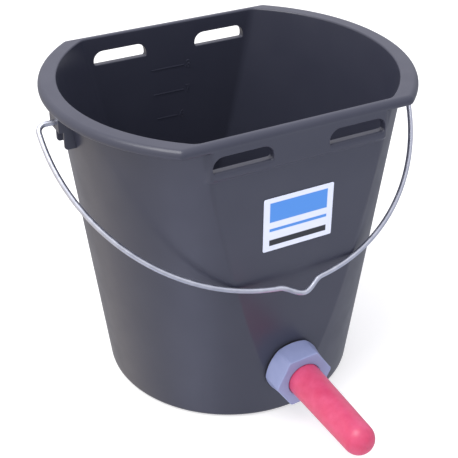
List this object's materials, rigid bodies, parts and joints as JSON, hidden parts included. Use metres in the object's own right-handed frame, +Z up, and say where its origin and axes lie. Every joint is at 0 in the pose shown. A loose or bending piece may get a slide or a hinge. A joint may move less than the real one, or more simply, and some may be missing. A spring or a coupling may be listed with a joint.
{
  "type": "calf feeding bucket",
  "caption": "Conical bucket with a flat front and back, rail slots under its rim, a swinging wire bail and a rubber teat held by a union nut on a ball valve.",
  "frame": {"origin": "centre of the base's underside, on the bucket's upright axis", "axes": "+Z up along the bucket's axis, the teat points to -Y, the bail's pivots lie along X"},
  "size_m": [0.303, 0.3157, 0.253],
  "materials": {
    "bucket_plastic": "moulded polypropylene, satin",
    "galvanised_wire": "bright zinc",
    "black_rubber": "matte",
    "valve_plastic": "moulded acetal",
    "stainless_steel": "polished",
    "nut_plastic": "moulded polypropylene, satin",
    "teat_rubber": "soft natural rubber, satin",
    "label_vinyl": "printed vinyl"
  },
  "bodies": {
    "bucket_and_teat": {"bucket": "bucket_plastic", "inner_gasket": "black_rubber", "outer_washer": "black_rubber", "valve_body": "valve_plastic", "ball_cage": "valve_plastic", "union_nut": "nut_plastic", "teat": "teat_rubber", "label": "label_vinyl"},
    "handle": {"bail": "galvanised_wire"},
    "ball": {"valve_ball": "stainless_steel"}
  },
  "joints": [
    {"name": "bail_hinge", "type": "hinge", "parent": "bucket_and_teat", "child": "handle", "pos_m": [0, 0, 0.2386], "axis": [-1, 0, 0], "range_deg": [0, 269.04]},
    {"name": "valve_ball_slide", "type": "slide", "parent": "bucket_and_teat", "child": "ball", "axis": [0, -1, 0], "range_m": [0, 0.006]}
  ]
}
